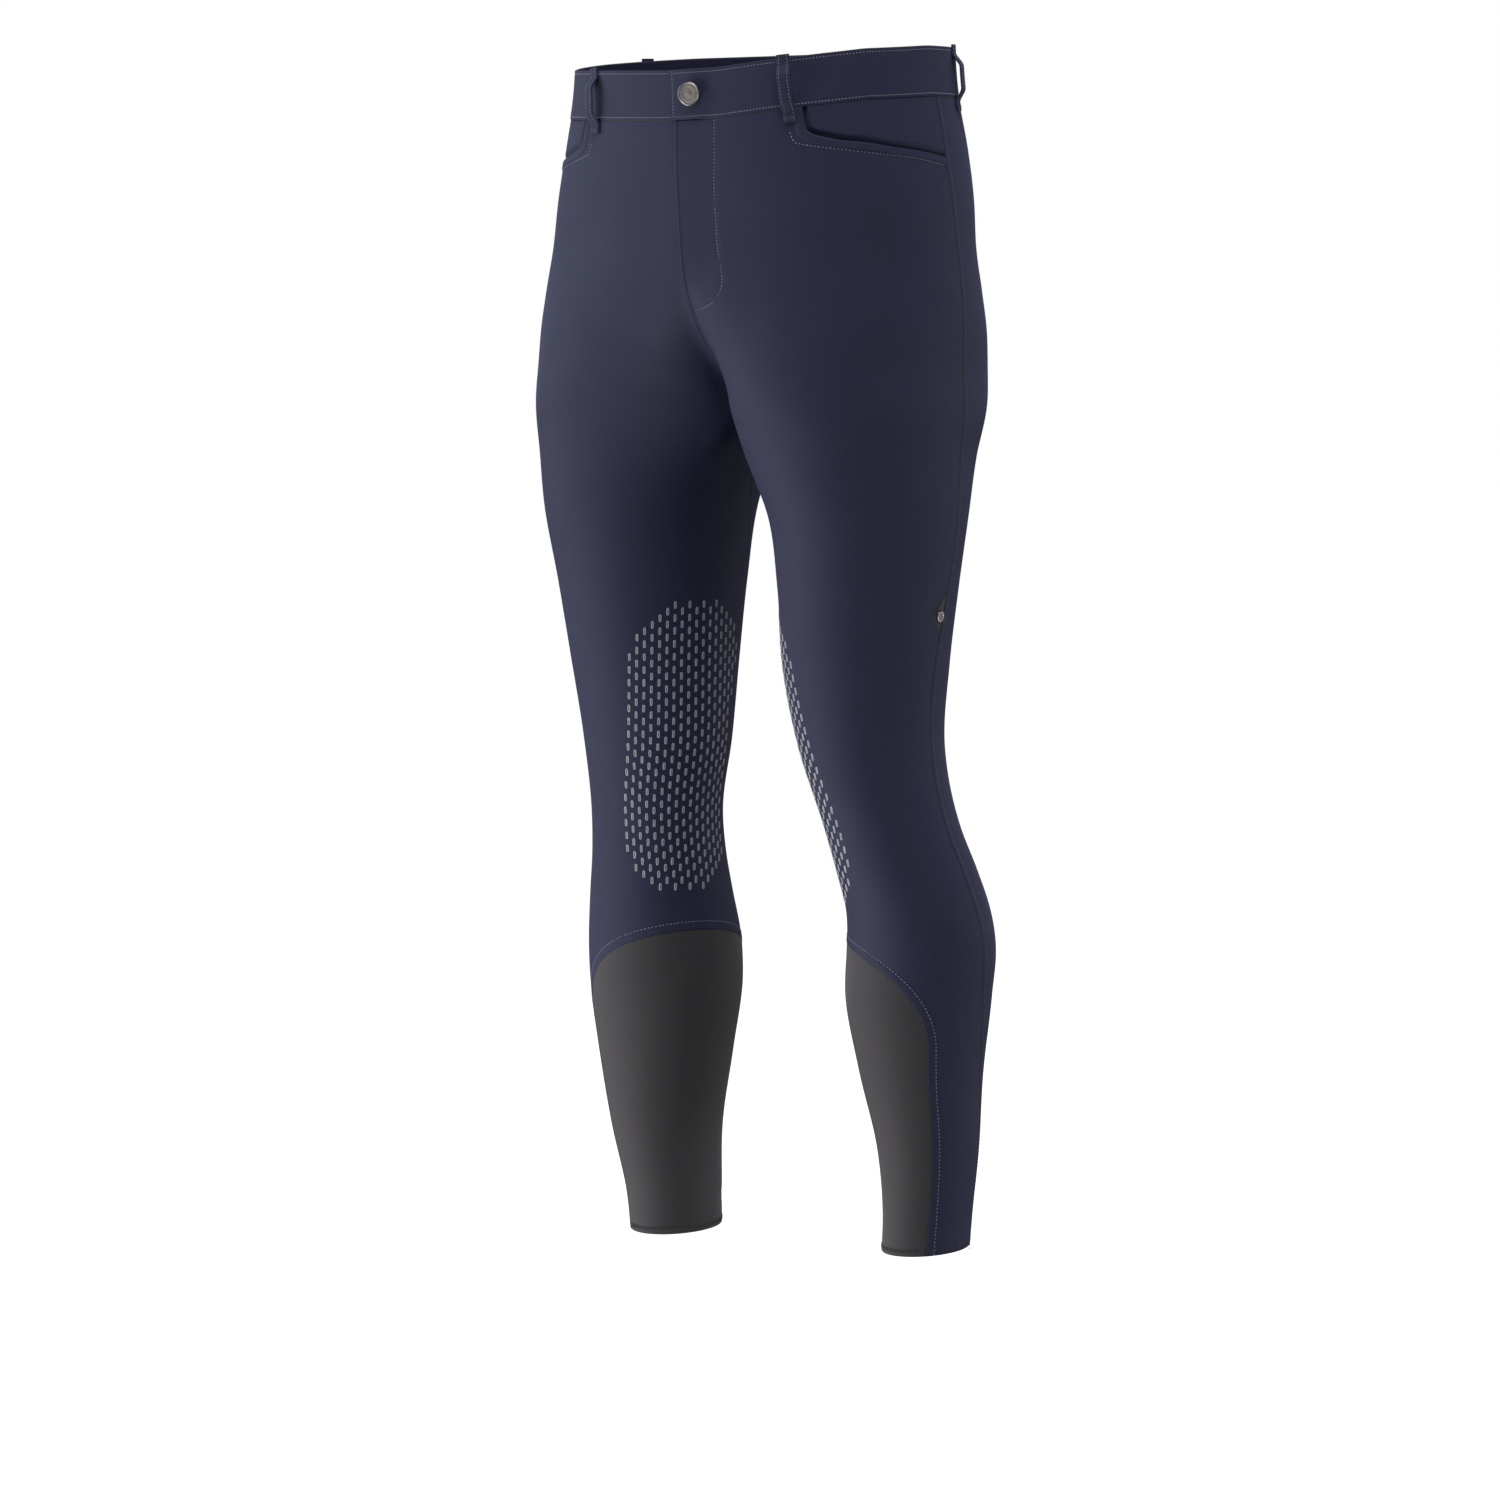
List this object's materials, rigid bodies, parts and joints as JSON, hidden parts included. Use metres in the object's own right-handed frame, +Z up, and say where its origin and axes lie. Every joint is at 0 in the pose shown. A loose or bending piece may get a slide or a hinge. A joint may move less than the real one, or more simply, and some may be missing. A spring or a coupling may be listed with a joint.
{
  "type": "riding breeches",
  "caption": "Full-length riding breeches in worn form: hollow stretch cloth with waistband, buttoned fly, slant pockets, belt loops, knee grips and contrast lower-leg panels.",
  "frame": {"origin": "centre of the waist opening, level with the middle of the front waistband, where the wearer's waist holds the garment", "axes": "+Z up, -Y to the front, +X to the wearer's left"},
  "size_m": [0.3824, 0.2626, 0.9404],
  "materials": {
    "navy_cloth": "smooth matte stretch knit, dark navy",
    "charcoal_cloth": "fine matte elastic knit, charcoal",
    "silver_metal": "satin nickel"
  },
  "bodies": {
    "root": {"front_right": "navy_cloth", "front_left": "navy_cloth", "back_right": "navy_cloth", "back_left": "navy_cloth", "pocket_facing_right": "navy_cloth", "pocket_facing_left": "navy_cloth", "waistband_right": "navy_cloth", "waistband_left": "navy_cloth", "belt_loop_front_right": "navy_cloth", "belt_loop_front_left": "navy_cloth", "belt_loop_side_right": "navy_cloth", "belt_loop_side_left": "navy_cloth", "belt_loop_back": "navy_cloth", "calf_panel_right": "charcoal_cloth", "calf_panel_left": "charcoal_cloth", "seam_gusset_left": "charcoal_cloth", "waist_button": "silver_metal", "side_stud_left": "silver_metal"}
  },
  "joints": []
}
